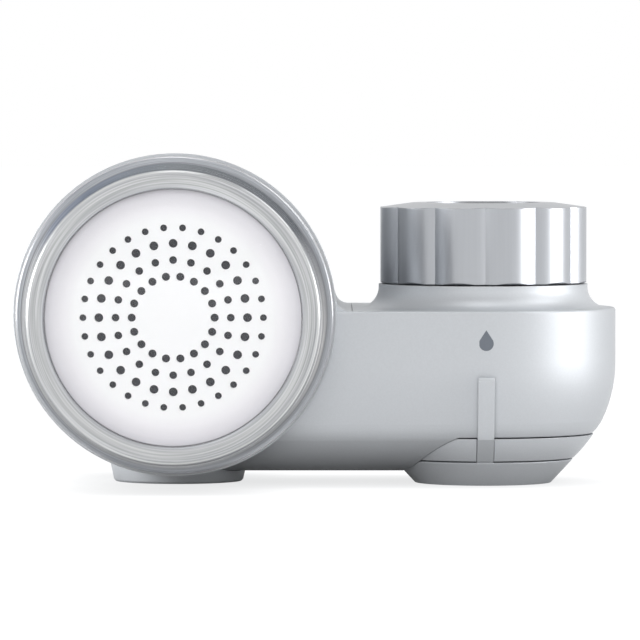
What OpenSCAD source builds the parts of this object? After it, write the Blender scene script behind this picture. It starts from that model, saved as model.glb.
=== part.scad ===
// Faucet mount water filter: a filter drum lying on its side, a bowl-ended arm under the
// faucet, a fluted swivel nut on top and a lever ring that turns the diverter valve below.
// The modules are drawn standing on the table at Z = 0, with the faucet axis on Z, the drum
// towards -X and its clear cap towards -Y, and from_mouth() then lowers each piece so that the
// origin lies in the mouth of the inlet thread.

/* [Body] */
// Distance from the drum's axis to the faucet's axis
axis_gap = 68.65; // [66:0.05:90]
// Half depth of the arm and radius of its round end
body_r = 29.8; // [29:0.1:34]
// Height of the flat deck above the table
deck_z = 39.4; // [38:0.1:46]
// Wall of the moulded housing
wall = 2.4; // [1.6:0.1:3]
// How far the bowl's curve, carried on, would reach below the table
bowl_sink = 2.8; // [1:0.1:4]
// Radius that blends the side into the belly
blend_r = 10; // [7:0.5:12]
// Radius of the belly of the arm
belly_r = 40; // [36:1:46]
// Lowest point of the arm above the table
belly_z = 2.6; // [2:0.1:4]
// Rounding of the deck's outer edge
edge_r = 0.6; // [0.3:0.1:1.2]

/* [Drum] */
// Gap between the drum's rim and the table
drum_lift = 3.1; // [2.5:0.1:4]
// Outer radius of the drum at its front rim
drum_r = 35.6; // [35:0.1:38]
// How much smaller the drum is at its back
drum_draft = 1; // [0:0.1:2]
// Reach of the drum in front of the faucet axis
drum_front = 32; // [31:0.5:40]
// Reach of the drum behind the faucet axis
drum_back = 35; // [34:0.5:45]
// Rounding of the drum's back edge
back_r = 4; // [2:0.5:4]
// Rounding between the drum and the deck
deck_fillet = 3; // [2:0.25:3]
// Wall between the drum's bore and its outer face at the rim
drum_wall = 2.6; // [2:0.1:3]
// Thickness of the drum's inner partition
partition_t = 2.6; // [2:0.1:3.5]
// Depth of the chamber behind the partition
chamber_d = 3.5; // [3:0.25:4]
// Distance of the back cover's edge from the rim's radius
back_cover_inset = 6.1; // [5.6:0.1:7]
// Thickness of the back cover
back_cover_t = 2.4; // [2:0.1:3]

/* [Top cover] */
// Thickness of the cover plate
cover_t = 2.2; // [1.8:0.1:2.6]
// Distance of the cover's straight edge from the faucet axis
cover_edge = 29.6; // [26:0.1:29.9]
// Width of the housing's rim round the cover
rim_w = 0.9; // [0.7:0.1:1.2]
// Distance of the collar's wall from the round end of the arm
collar_inset = 6.3; // [5.8:0.1:7.5]
// Height of the collar above the deck
collar_h = 5.3; // [5:0.1:7]
// Radius of the flare from collar to deck
flare_r = 4.6; // [3.5:0.1:4.6]

/* [Swivel nut] */
// Radius over the tips of the nut's lobes
nut_r = 23.6; // [22.5:0.1:26]
// Radius of one lobe's curve
lobe_r = 9; // [8:0.5:12]
// Number of lobes
lobes = 12; // [10:1:14]
// Height of the nut at its outer edge
nut_h = 16.9; // [15:0.1:22]
// Rise of the nut's sloping top
nut_rise = 1.05; // [0.5:0.05:2]
// Radius of the flat on top of the nut
nut_flat_r = 16.1; // [15:0.1:18]
// Bevel round the foot of the nut
nut_bevel = 0.5; // [0.2:0.1:1]
// Radius of the inlet thread at its crests
thread_r = 10.46; // [10:0.01:11]
// Wall of the threaded insert
insert_wall = 2.5; // [2:0.1:3]
// Length of the threaded insert
insert_l = 8.8; // [7:0.1:9]

/* [Inlet] */
// Bore of the inlet spigot
spigot_bore = 5.8; // [5:0.1:6.5]
// Wall of the inlet spigot
spigot_wall = 3.8; // [3.4:0.1:4]
// Thickness of the spigot's flanges
flange_t = 2.2; // [1.8:0.1:2.6]
// Radius of the flange that carries the nut
flange_r = 12.3; // [12:0.1:12.5]
// Radius of the flange under the collar
base_flange_r = 14; // [13:0.5:18]
// Thickness of the inlet washer
washer_t = 1.8; // [1.2:0.1:2.4]
// Thickness of the strainer screen
screen_t = 0.8; // [0.5:0.1:1.2]

/* [Diverter] */
// Height of the seam between the body and the diverter ring
ring_top = 11.2; // [10:0.1:12]
// Height of the seam between the diverter ring and the outlet ring
ring_seam = 5.6; // [4.6:0.1:6]
// How far the rings stand back from the bowl's curve
ring_step = 0.2; // [0.1:0.05:0.4]
// How much the outlet ring narrows down to the table
outlet_taper = 4.5; // [3:0.1:5]
// Wall of the outlet ring at the table
outlet_wall = 2.2; // [1.8:0.1:3]
// Depth of the plates above the table
plate_recess = 0.8; // [0.5:0.1:0.9]
// Thickness of the spray plate and of the nozzle plate
plate_t = 1.6; // [1.2:0.1:1.7]
// Radius of the valve rotor
rotor_r = 12.75; // [12:0.05:13]
// Height of the waterway through the valve
port_z = 22; // [21:0.5:23]
// Bore of the waterways
port_r = 4.2; // [3.5:0.1:4.4]
// Width of the lever
lever_w = 3.7; // [3:0.1:6]
// Height of the lever's tip
lever_top = 24.9; // [22:0.1:28]
// Thickness of the lever
lever_t = 1.9; // [1.5:0.1:2.5]
// Gap between the lever and the body
lever_gap = 0.5; // [0.4:0.05:1]

/* [Cartridge] */
// Gap between the cartridge and the drum's bore, for the cap's skirt
cartridge_gap = 4.1; // [3.8:0.1:4.5]
// Wall of the cartridge's case
case_wall = 2.2; // [1.6:0.1:3]
// How much smaller than the case the white face is
face_inset = 0.6; // [0.4:0.1:1.4]
// Thickness of the face disc
face_t = 2; // [1.4:0.1:2.4]
// Thickness of the sediment pad
pad_t = 3; // [2:0.25:5]
// Radius of the channel through the filter block
core_r = 6; // [4:0.5:10]
// Outer radius of the outlet stem
stem_r = 7; // [6:0.25:8]
// Bore of the outlet stem
stem_bore = 4.5; // [3.5:0.25:5]
// Radii of the four rings of holes in the face
face_ring_r = [9.02, 12.54, 16.17, 19.64];
// Number of holes in each ring
face_ring_n = [18, 20, 24, 30];
// Radius of the holes in each ring
face_hole_r = [0.89, 0.85, 0.97, 0.75];

/* [Clear cap] */
// Reach of the cap in front of the drum's rim
cap_reach = 20; // [18:0.5:26]
// How much smaller than the drum the cap's front edge is
cap_front_inset = 3.3; // [3:0.1:3.8]
// How much smaller than the drum the cap is where it meets its flange
cap_back_inset = 2.2; // [1.8:0.1:2.6]
// How much smaller than the drum the cap's flange is
cap_flange_inset = 0.6; // [0.2:0.1:1.2]
// Thickness of the cap's flange
cap_flange_t = 5.4; // [4:0.1:7]
// Thickness of the cap's window
window_t = 2.1; // [1.6:0.1:3]
// Rounding of the cap's front edge
cap_edge_r = 1.3; // [0.8:0.1:1.6]
// Depth to which the cap's skirt enters the drum
skirt_l = 8.5; // [7:0.5:10]
// Number of fine steps along the side of the cap
cap_steps = 4; // [2:1:6]
// How far the window lies behind the cap's front edge
window_recess = 0.4; // [0.2:0.1:0.8]
// Width of the ring round the window
window_rim = 4.1; // [3:0.1:5]

/* [Outlet foot] */
// Distance of the foot's centre behind the faucet axis
foot_y = 5.3; // [2:0.1:7]
// Radius of the foot at the table
foot_r = 14.6; // [13:0.1:15.5]
// How much the foot widens upwards
foot_flare = 1.7; // [1:0.1:3]
// Wall of the foot round its nozzle plate
foot_wall = 3.5; // [3:0.1:5]

/* [Clearances] */
// Gap between parts that move past each other
run = 0.3; // [0.2:0.05:0.4]
// Gap between parts that are fixed together
seam = 0.1; // [0.05:0.05:0.15]

/* [Hidden] */
$fn = 128;

// A length that reaches well past the whole object, for cutting
far = 2 * (axis_gap + drum_r + body_r);
// A small overlap that keeps cuts clean
bite = 0.5;
// Small bevels and roundings
soft_edge = 0.4;
// Play between a seal and its groove
seal_gap = 0.05;

// Main heights and radii
side_z = body_r - bowl_sink;
drum_z = drum_r + drum_lift;
collar_r = body_r - collar_inset;

// Arm and bowl section: centres of the three curves, in depth and height
side_c = [0, side_z];
belly_c = [0, belly_z + belly_r];
blend_c = circles_meet(side_c, body_r - blend_r, belly_c, belly_r - blend_r);
side_end = heading(blend_c - side_c);
belly_end = heading(blend_c - belly_c);

// Drum: distances along its axis are counted from the faucet axis towards the front
bore_r = drum_r - drum_wall;
back_face = -drum_back;
back_cover_r = drum_r - back_cover_inset;
cover_bite = 1.2;
cover_seat = back_face + back_cover_t + seam;
cover_ledge = 2;
cover_bevel = 0.5;
chamber_front = cover_seat + cover_ledge + chamber_d;
partition_front = chamber_front + partition_t;
socket_r = stem_r + run + 0.05;
socket_boss_r = socket_r + wall + 0.8;
socket_boss_l = 2;
chamber_r = drum_r - drum_draft - wall;

// Top cover and inlet
collar_top = deck_z + collar_h;
cover_r = body_r - rim_w;
nut_z = collar_top + run;
nut_top = nut_z + nut_h;
spigot_r = spigot_bore + spigot_wall;
flange_z = nut_z + 5;
flange_top = flange_z + flange_t;
insert_r = thread_r + insert_wall;
insert_sink = 0.6;
insert_z = nut_top + nut_rise - insert_sink - insert_l;
insert_bevel = 0.6;
thread_lead = 0.8;
mouth_z = insert_z + insert_l - thread_lead;
collar_roof = collar_top - wall + 0.2;
screen_r = spigot_bore + 0.5;
screen_rings = 3;
screen_pitch = spigot_bore / (screen_rings + 0.6);
screen_hole_r = 0.45;
// The nut's cone is turned a little past the lobes' tips
nut_over = 0.2;
nut_over_drop = 0.03;

// Valve
chamber_bore_r = rotor_r + run;
chamber_wall_r = chamber_bore_r + wall;
valve_roof = port_z + port_r + 5.8;
socket_floor = valve_roof + 1.2;
spigot_seal_r = 0.55;
spigot_seal_z = socket_floor + 2.6;
spigot_groove = 2 * spigot_seal_r + seal_gap;
spigot_groove_h = 1.6;
boss_top = socket_floor + 5.4;
retainer_t = 1.9;
retainer_z = ring_top + seam;
rotor_z = retainer_z + retainer_t + run;
rotor_top = valve_roof - run;
rotor_stem_r = 6;
drive_flat = 1.6 * rotor_stem_r;
hub_r = rotor_stem_r + 2.4;
hub_floor = 2;
hub_top = ring_top - 2 * run;
raw_groove_r = 3.2;
valve_foot = ring_top + 1;
duct_l = axis_gap - bore_r + 6;
duct_wall = 1.4;
ring_lip = 0.9;
spoke_w = 3;
lever_root = 1.5;
lever_merge = 1.2;
seal_r = 0.75;
seal_groove = 1.4;
seal_land = 2.05;
seal_play = 0.2;
bore_sump = 0.6;
port_seal_t = 1.2;
port_seal_l = 3.4;
screw_r = 1.45;
screw_l = 7.4;
screw_head_r = 2.8;
screw_head_t = 1.6;
screw_slot_l = 3.4;
screw_slot_w = 0.8;
screw_slot_d = 1;
screw_room = 1;

// Outlet ring, just inside the bowl's curve
outlet_top_r = sqrt(pow(body_r - ring_step, 2) - pow(side_z - ring_seam, 2)) - 0.23;
outlet_r = outlet_top_r - outlet_taper;
spray_r = outlet_r - outlet_wall;
spray_hole_r = 0.55;
spray_rings = 5;
spray_pitch = 2.3;
plate_ledge = 1;

// Foot under the drum
nozzle_r = foot_r - foot_wall - seam;
foot_h = drum_lift + 4.9;
plenum_top = drum_z - bore_r - 1.5;
nozzle_hole_r = 0.8;
nozzle_rings = 4;
nozzle_pitch = 2.35;

// Cartridge and cap, along the drum's axis
cartridge_r = bore_r - cartridge_gap;
port_top = drum_z - cartridge_r - 1;
face_r = cartridge_r - face_inset;
cap_front_r = drum_r - cap_front_inset;
cap_back_r = drum_r - cap_back_inset;
cap_flange_r = drum_r - cap_flange_inset;
flange_edge = 0.8;
cap_front = drum_front + cap_reach;
flange_back = drum_front + run;
flange_front = flange_back + cap_flange_t;
window_front = cap_front - window_recess;
window_back = window_front - window_t;
face_front = window_back - run;
face_back = face_front - face_t;
case_front = face_back - seam;
case_back = partition_front + run + 0.1;
case_bore_r = cartridge_r - case_wall;
skirt_r = bore_r - run;
skirt_bore_r = cartridge_r + 1.1;
corner_r = 1;
window_slope = 0.3;
cap_seal_r = 0.8;
cap_seal_z = drum_front - 2.6;
cap_groove = 1.6;
cap_groove_h = 2;
block_gap = 0.4;
stem_end = chamber_front - 1.5;
channel_in_r = cartridge_r + 0.6;
channel_wall = 1.2;
channel_half = 12;
channel_room = 0.8 * channel_half;
channel_slot = 0.75 * channel_half;
stem_seal_r = 0.6;
stem_groove = 1.1;
stem_groove_h = 1.7;
stem_seal_z = stem_end + 2.25;

// Puts the origin in the mouth of the inlet thread
module from_mouth() {
    translate([0, 0, -mouth_z]) children();
}

// Where two circles meet, on the side towards +X
function circles_meet(a, ra, b, rb) =
    let (d = norm(b - a), u = (b - a) / d, along = (ra * ra - rb * rb + d * d) / (2 * d))
    a + along * u + sqrt(ra * ra - along * along) * [u[1], -u[0]];

// The direction of a vector, in degrees
function heading(v) = atan2(v[1], v[0]);

// A point at a distance and an angle from a centre
function around(c, r, a) = c + r * [cos(a), sin(a)];

// A slice of a disc between two angles, less than 90 degrees apart
module sector(c, r, a, b) {
    intersection() {
        translate(c) circle(r);
        polygon([c, around(c, 2 * r, a), around(c, 2 * r, b)]);
    }
}

// Half of the arm's section: upright wall, long side curve, blend and belly
module half_section(inset, top) {
    intersection() {
        union() {
            translate([0, side_z]) square([body_r - inset, top - side_z]);
            sector(side_c, body_r - inset, side_end, 0);
            translate(blend_c) circle(blend_r - inset);
            sector(belly_c, belly_r - inset, -90, belly_end);
        }
        square([far, top]);
    }
}

// The section with its rounded top edge
module outer_half_section() {
    intersection() {
        half_section(0, deck_z);
        union() {
            square([far, deck_z - edge_r]);
            square([body_r - edge_r, deck_z]);
            translate([body_r - edge_r, deck_z - edge_r]) circle(edge_r);
        }
    }
}

// Carries a half section along the arm and round the end under the faucet
module arm_and_bowl() {
    rotate([90, 0, 90]) translate([0, 0, -axis_gap]) linear_extrude(axis_gap) {
        children();
        mirror([1, 0]) children();
    }
    rotate_extrude(angle = 180, start = -90) children();
}

// Puts a shape drawn round Z on the drum's axis, with its top towards the front
module on_drum() {
    translate([-axis_gap, 0, drum_z]) rotate([90, 0, 0]) children();
}

// A ring with a round section, such as an O-ring
module o_ring(r, section) {
    rotate_extrude() translate([r, 0]) circle(section);
}

// A tube that stands on z
module tube(outer, inner, z, h) {
    translate([0, 0, z]) difference() {
        cylinder(r = outer, h = h);
        translate([0, 0, -bite]) cylinder(r = inner, h = h + 2 * bite);
    }
}

// The outside of the drum, tapered towards a rounded back
module drum_outside(grow = 0) {
    rotate(180) rotate_extrude() drum_half_outline(grow, drum_r - drum_draft);
}

// Half outline of the drum, larger by grow
module drum_half_outline(grow, back) {
    polygon([
        [0, back_face + back_r], [back + grow, back_face + back_r],
        [drum_r + grow, drum_front], [0, drum_front],
    ]);
    translate([0, back_face - grow]) square([back - back_r, back_r + grow]);
    intersection() {
        translate([back - back_r, back_face + back_r]) circle(back_r + grow);
        translate([0, back_face - grow]) square([far, back_r + grow]);
    }
}

// The bowl-shaped room that the two rings below the valve turn in
module ring_room(grow) {
    rotate_extrude() {
        intersection() {
            translate(side_c) circle(body_r + grow);
            translate([0, -far]) square([far, far + ring_top + max(grow - run, 0)]);
        }
        polygon([[0, 0], [outlet_r, 0] + [grow + run, 0],
                 [outlet_top_r, ring_seam] + [grow + run, 0], [0, ring_seam]]);
    }
}

// Fillet that carries the deck up into the drum
module deck_blend() {
    lift = deck_z + deck_fillet;
    run_out = sqrt(pow(drum_r + deck_fillet, 2) - pow(lift - drum_z, 2));
    depth = 2 * (body_r - edge_r);
    translate([-axis_gap, depth / 2, 0]) rotate([90, 0, 0]) linear_extrude(depth) difference() {
        polygon([[bore_r, deck_z - bite], [run_out, deck_z - bite], [run_out, deck_z],
                 around([0, drum_z], drum_r, heading([run_out, lift - drum_z])),
                 [bore_r, lift]]);
        translate([run_out, lift]) circle(deck_fillet);
    }
}

// The hollow of the arm and bowl, kept clear of the drum and of the rings' room
module arm_hollow() {
    difference() {
        arm_and_bowl() half_section(wall, deck_z - cover_t);
        on_drum() translate([0, 0, -far / 2]) cylinder(r = drum_r, h = far);
        ring_room(wall);
    }
}

// Outline of the top cover, smaller by a gap
module cover_outline(gap) {
    translate([gap - cover_edge, -(cover_r - gap)]) square([cover_edge - gap, 2 * (cover_r - gap)]);
    intersection() {
        circle(cover_r - gap);
        translate([0, -far / 2]) square([far / 2, far]);
    }
}

// The drum's bore, its back chamber and the seat of the back cover
module drum_hollow() {
    translate([0, 0, partition_front]) cylinder(r = bore_r, h = far);
    translate([0, 0, cover_seat + cover_ledge]) cylinder(r = chamber_r, h = chamber_d);
    translate([0, 0, back_face - bite])
        cylinder(r = back_cover_r + seam, h = cover_seat - back_face + bite);
    translate([0, 0, back_face])
        cylinder(r = back_cover_r - cover_bite, h = cover_seat + cover_ledge - back_face + bite);
}

// Main moulding: drum, arm, bowl, valve chamber and stem socket
module housing_body() color("silver") from_mouth() {
    difference() {
        union() {
            difference() {
                union() {
                    arm_and_bowl() outer_half_section();
                    on_drum() drum_outside();
                    deck_blend();
                }
                arm_hollow();
                ring_room(max(run - ring_step, 0));
                translate([0, 0, deck_z - cover_t]) linear_extrude(far) cover_outline(0);
                on_drum() drum_hollow();
            }
            valve_walls();
            on_drum() translate([0, 0, chamber_front - socket_boss_l])
                cylinder(r = socket_boss_r, h = socket_boss_l + bite);
        }
        valve_waterways();
        on_drum() {
            translate([0, 0, chamber_front - chamber_d]) cylinder(r = socket_r, h = far / 8);
            rotate_extrude(angle = 2 * channel_slot, start = -90 - channel_slot)
                translate([channel_in_r + channel_wall, chamber_front - bite])
                square([chamber_r - channel_in_r - channel_wall - seam, partition_t + 2 * bite]);
        }
        translate([-axis_gap, foot_y, 0]) {
            cylinder(r = port_r, h = port_top);
            cylinder(r = nozzle_r - plate_ledge, h = plenum_top);
        }
    }
}

// Walls of the valve chamber, the boss of its plain-water groove and the inlet socket
module valve_walls() {
    translate([0, 0, valve_foot]) cylinder(r = chamber_wall_r, h = valve_roof + wall - valve_foot);
    translate([0, -chamber_bore_r, valve_foot])
        cylinder(r = raw_groove_r + wall, h = port_z + port_r + wall - valve_foot);
    translate([0, 0, valve_roof]) cylinder(r = spigot_r + seam + wall, h = boss_top - valve_roof);
}

// Everything that water runs through in the right half of the housing
module valve_waterways() {
    translate([0, 0, ring_top - bite]) cylinder(r = chamber_bore_r, h = valve_roof - ring_top + bite);
    translate([0, 0, valve_roof - bite]) cylinder(r = spigot_bore, h = wall + bite);
    translate([0, 0, socket_floor]) cylinder(r = spigot_r + seam, h = far);
    translate([0, -chamber_bore_r, ring_top - bite])
        cylinder(r = raw_groove_r, h = port_z + port_r - ring_top + bite);
    translate([0, 0, port_z]) rotate([0, -90, 0]) cylinder(r = port_r, h = duct_l);
}

// Deck plate with the flared collar that the nut sits over
module top_cover() color("silver") from_mouth() {
    difference() {
        union() {
            translate([0, 0, deck_z - cover_t + seam]) linear_extrude(cover_t - seam)
                cover_outline(seam);
            rotate_extrude() difference() {
                translate([0, deck_z - bite])
                    square([collar_r + flare_r, collar_h + bite]);
                translate([collar_r + flare_r, deck_z + flare_r]) circle(flare_r);
                translate([collar_r, deck_z + flare_r]) square([far, far]);
            }
        }
        translate([0, 0, deck_z - cover_t - bite])
            cylinder(r = collar_r - wall, h = collar_roof - deck_z + cover_t + bite);
        translate([0, 0, deck_z]) cylinder(r = spigot_r + seam, h = far);
    }
}

// Plate that closes the chamber behind the cartridge
module back_cover() color("silver") from_mouth() {
    on_drum() translate([0, 0, back_face]) rotate_extrude()
        polygon([[0, 0], [back_cover_r - cover_bevel, 0], [back_cover_r, cover_bevel],
                 [back_cover_r, back_cover_t], [0, back_cover_t]]);
}

// Tube that leads the faucet's water into the valve, with the flange that carries the nut
module inlet_spigot() color("gainsboro") from_mouth() {
    rotate_extrude() difference() {
        union() {
            translate([spigot_bore, socket_floor + seam])
                square([spigot_wall, flange_top - socket_floor - seam]);
            translate([spigot_bore, flange_z]) square([flange_r - spigot_bore, flange_t]);
            translate([spigot_bore, collar_roof - seam - flange_t])
                square([base_flange_r - spigot_bore, flange_t]);
        }
        translate([spigot_r - spigot_groove, spigot_seal_z - spigot_groove_h / 2])
            square([far, spigot_groove_h]);
    }
}

// Ring that seals the spigot in its socket
module spigot_seal() color("black") from_mouth() {
    translate([0, 0, spigot_seal_z])
        o_ring(spigot_r - spigot_groove + seam + spigot_seal_r, spigot_seal_r);
}

// Rubber washer that the faucet's end presses on
module inlet_washer() color("dimgray") from_mouth() {
    tube(thread_r - run, screen_r + seam, flange_top + seam, washer_t);
}

// Strainer screen inside the washer
module inlet_screen() color("lightgray") from_mouth() {
    translate([0, 0, flange_top + seam]) linear_extrude(screen_t) difference() {
        circle(screen_r);
        circle(screen_hole_r);
        for (ring = [1 : screen_rings], i = [0 : 6 * ring - 1])
            rotate(60 / ring * i) translate([ring * screen_pitch, 0]) circle(screen_hole_r);
    }
}

// Duct that takes the faucet's water from the valve to the drum
module raw_water_duct() color("white") from_mouth() {
    difference() {
        translate([0, 0, port_z]) rotate([0, -90, 0]) tube(port_r + duct_wall, port_r, 0, duct_l);
        translate([0, 0, -far / 2]) cylinder(r = chamber_wall_r + seam, h = far);
        on_drum() translate([0, 0, -far / 2]) cylinder(r = drum_r + seam, h = far);
    }
}

// Gutter that leads filtered water from the back chamber to the foot, open to the drum's wall
module filtered_channel() color("white") from_mouth() {
    length = port_r + foot_y + channel_wall - partition_front;
    on_drum() translate([0, 0, partition_front + seam]) difference() {
        rotate_extrude(angle = 2 * channel_half, start = -90 - channel_half)
            translate([channel_in_r, 0]) square([bore_r - seam - channel_in_r, length]);
        rotate_extrude(angle = 2 * channel_room, start = -90 - channel_room)
            translate([channel_in_r + channel_wall, -bite])
            square([far / 8, length - channel_wall + bite]);
    }
}

// Ring that holds the rotor up in its chamber, open at the plain-water groove
module valve_retainer() color("white") from_mouth() {
    difference() {
        tube(chamber_bore_r - seam, rotor_stem_r + run, retainer_z, retainer_t);
        translate([0, -chamber_bore_r, retainer_z - bite])
            cylinder(r = raw_groove_r, h = retainer_t + 2 * bite);
    }
}

// Tapered foot under the drum, where filtered water comes out
module outlet_foot() color("silver") from_mouth() {
    difference() {
        translate([-axis_gap, foot_y, 0]) rotate_extrude()
            polygon([[nozzle_r + seam, 0], [foot_r - soft_edge, 0], [foot_r, soft_edge],
                     [foot_r + foot_flare, foot_h], [nozzle_r + seam, foot_h]]);
        on_drum() drum_outside(seam);
        translate([-seam, 0, 0]) arm_and_bowl() half_section(-seam, deck_z);
    }
}

// Perforated nozzle plate in the foot
module foot_nozzle() color("white") from_mouth() {
    translate([-axis_gap, foot_y, plate_recess])
        perforated_plate(nozzle_r, nozzle_hole_r, nozzle_rings, nozzle_pitch);
}

// Round plate with rings of holes, six more in each ring
module perforated_plate(r, hole, rings, pitch) {
    linear_extrude(plate_t) difference() {
        circle(r);
        circle(hole);
        for (ring = [1 : rings], i = [0 : 6 * ring - 1])
            rotate(60 / ring * i) translate([ring * pitch, 0]) circle(hole);
    }
}

// Outline of the fluted nut: round lobes that meet in sharp grooves
module lobed_outline() {
    for (i = [0 : lobes - 1])
        rotate((i + 0.5) * 360 / lobes - 90) translate([nut_r - lobe_r, 0]) circle(lobe_r);
}

// Fluted nut that screws onto the faucet and turns on the spigot
module swivel_nut() color("lightgray") from_mouth() {
    difference() {
        intersection() {
            translate([0, 0, nut_z]) linear_extrude(nut_h + nut_rise) lobed_outline();
            rotate_extrude() polygon([
                [0, nut_z], [nut_r - nut_bevel, nut_z], [nut_r + nut_over, nut_z + nut_bevel],
                [nut_r + nut_over, nut_top - nut_over_drop], [nut_flat_r, nut_top + nut_rise],
                [0, nut_top + nut_rise],
            ]);
        }
        translate([0, 0, nut_z - bite]) cylinder(r = spigot_r + run, h = far);
        translate([0, 0, flange_z - run]) cylinder(r = insert_r, h = far);
    }
}

// Threaded insert pressed into the nut over the spigot's flange
module thread_insert() color("darkgoldenrod") from_mouth() {
    translate([0, 0, insert_z]) rotate_extrude() polygon([
        [thread_r, insert_bevel], [thread_r + insert_bevel, 0], [insert_r, 0], [insert_r, insert_l],
        [thread_r + thread_lead, insert_l], [thread_r, insert_l - thread_lead],
    ]);
}

// Valve rotor: water comes in from above and leaves through the side
module valve_rotor() color("white") from_mouth() {
    difference() {
        union() {
            translate([0, 0, rotor_z]) cylinder(r = rotor_r, h = rotor_top - rotor_z);
            intersection() {
                translate([0, 0, ring_seam + hub_floor + run + seam])
                    cylinder(r = rotor_stem_r, h = rotor_z - ring_seam - hub_floor - run);
                stem_key(0);
            }
        }
        translate([0, 0, port_z - port_r - bore_sump]) cylinder(r = spigot_bore, h = far);
        translate([0, 0, port_z]) rotate([0, -90, 0]) cylinder(r = port_r, h = far);
        translate([0, 0, port_z]) rotate([0, -90, 0]) translate([0, 0, rotor_r - port_seal_l])
            cylinder(r = port_r + port_seal_t, h = far);
        for (z = [rotor_z + seal_land, rotor_top - seal_land])
            tube(rotor_r + bite, rotor_r - seal_groove, z - seal_r - seal_play,
                 2 * (seal_r + seal_play));
        translate([0, 0, ring_seam]) cylinder(r = screw_r + seam, h = screw_l + screw_room);
    }
}

// Two flats that key the rotor's stem to the hub, below the retainer only
module stem_key(gap) {
    translate([-far / 2, -drive_flat / 2 - gap, 0]) cube([far, drive_flat + 2 * gap, retainer_z]);
    translate([-far / 2, -far / 2, retainer_z]) cube([far, far, far]);
}

// Two rings that seal the rotor above and below its port
module rotor_seals() color("black") from_mouth() {
    for (z = [rotor_z + seal_land, rotor_top - seal_land])
        translate([0, 0, z]) o_ring(rotor_r - seal_groove + seal_r, seal_r - seal_gap);
}

// Sleeve that seals the rotor's port against the chamber
module port_seal() color("black") from_mouth() {
    intersection() {
        translate([0, 0, port_z]) rotate([0, -90, 0])
            tube(port_r + port_seal_t - seam, port_r, rotor_r - port_seal_l + seam, far / 4);
        cylinder(r = rotor_r, h = far);
    }
}

// Upper ring below the body: it turns with the lever and drives the rotor
module diverter_ring() color("silver") from_mouth() {
    top = ring_top - run;
    difference() {
        union() {
            rotate_extrude() difference() {
                intersection() {
                    translate(side_c) circle(body_r - ring_step);
                    translate([0, ring_seam + seam]) square([far, top - ring_seam - seam]);
                }
                translate([0, ring_seam + hub_floor]) square([outlet_top_r - wall, far]);
                square([outlet_r - ring_lip, ring_seam + hub_floor + bite]);
            }
            translate([0, 0, ring_seam + seam]) cylinder(r = hub_r, h = hub_top - ring_seam - seam);
            for (a = [45 : 90 : 315]) rotate(a) translate([0, -spoke_w / 2, ring_seam + seam])
                cube([outlet_r, spoke_w, hub_floor - seam]);
        }
        translate([0, 0, ring_seam + hub_floor + seam]) intersection() {
            cylinder(r = rotor_stem_r + seam, h = far);
            translate([0, 0, -ring_seam - hub_floor]) stem_key(seam);
        }
        translate([0, 0, ring_seam - bite]) cylinder(r = screw_r + seam, h = far);
        translate([-lever_w / 2 - seam, -far, 0])
            cube([lever_w + 2 * seam, far - outlet_top_r + lever_root + seam, far]);
    }
}

// Lower ring with the lever on its front
module outlet_ring() color("silver") from_mouth() {
    top = ring_seam - run + seam;
    difference() {
        union() {
            rotate_extrude() polygon([
                [0, 0], [outlet_r - soft_edge, 0], [outlet_r, soft_edge],
                [outlet_top_r, top - soft_edge / 2], [outlet_top_r - soft_edge / 2, top], [0, top],
            ]);
            lever();
        }
        translate([0, 0, -bite]) cylinder(r = spray_r + seam, h = plate_recess + plate_t + bite + seam);
        cylinder(r = spray_r - plate_ledge, h = far / 4);
    }
}

// Lever that follows the bowl's curve up the front
module lever() {
    reach = lever_gap + lever_t;
    foot = ring_top - run;
    intersection() {
        union() {
            rotate_extrude() difference() {
                intersection() {
                    half_section(-reach, lever_top - lever_t / 2);
                    lever_side();
                }
                translate([0, foot]) intersection() {
                    square([far, far]);
                    translate([0, -foot]) half_section(-lever_gap, lever_top + 1);
                }
            }
            translate([-lever_w, -tip_y(), lever_top - lever_t / 2]) rotate([0, 90, 0])
                cylinder(d = lever_t, h = 2 * lever_w);
        }
        translate([-lever_w / 2, -far, 0]) cube([lever_w, far, far]);
    }
}

// Side view of the lever's room: from the outlet ring outwards and up to its tip
module lever_side() {
    low = ring_seam - lever_merge;
    side = outlet_r + outlet_taper * low / ring_seam;
    out = sqrt(pow(body_r + lever_gap + lever_t, 2) - pow(side_z - ring_top, 2));
    polygon([[outlet_top_r - lever_root, low], [side, low], [out, ring_top],
             [out + far, ring_top], [out + far, far], [outlet_top_r - lever_root, far]]);
}

// Distance of the middle of the lever's tip from the faucet axis
function tip_y() = let (drop = side_z - lever_top + lever_t / 2, mid = lever_gap + lever_t / 2)
    sqrt(pow(body_r + mid, 2) - pow(max(drop, 0), 2));

// Perforated plate that plain water leaves through
module spray_plate() color("white") from_mouth() {
    translate([0, 0, plate_recess]) perforated_plate(spray_r, spray_hole_r, spray_rings, spray_pitch);
}

// Screw that holds the ring's hub to the rotor
module hub_screw() color("lightgray") from_mouth() {
    head = ring_seam - screw_head_t + seam;
    difference() {
        union() {
            translate([0, 0, head]) cylinder(r = screw_head_r, h = screw_head_t);
            translate([0, 0, head + screw_slot_d]) cylinder(r = screw_r, h = screw_l);
        }
        for (a = [0, 90]) rotate(a) translate([0, 0, head])
            cube([screw_slot_l, screw_slot_w, 2 * screw_slot_d], center = true);
    }
}

// Case of the cartridge, with the outlet stem at its back
module cartridge_case() color("whitesmoke") from_mouth() {
    on_drum() difference() {
        union() {
            translate([0, 0, case_back]) cylinder(r = cartridge_r, h = case_front - case_back);
            translate([0, 0, stem_end]) cylinder(r = stem_r, h = case_back - stem_end + bite);
        }
        translate([0, 0, case_back + case_wall]) cylinder(r = case_bore_r, h = far);
        translate([0, 0, stem_end - bite]) cylinder(r = stem_bore, h = far / 4);
        tube(stem_r + bite, stem_r - stem_groove, stem_seal_z - stem_groove_h / 2, stem_groove_h);
    }
}

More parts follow.
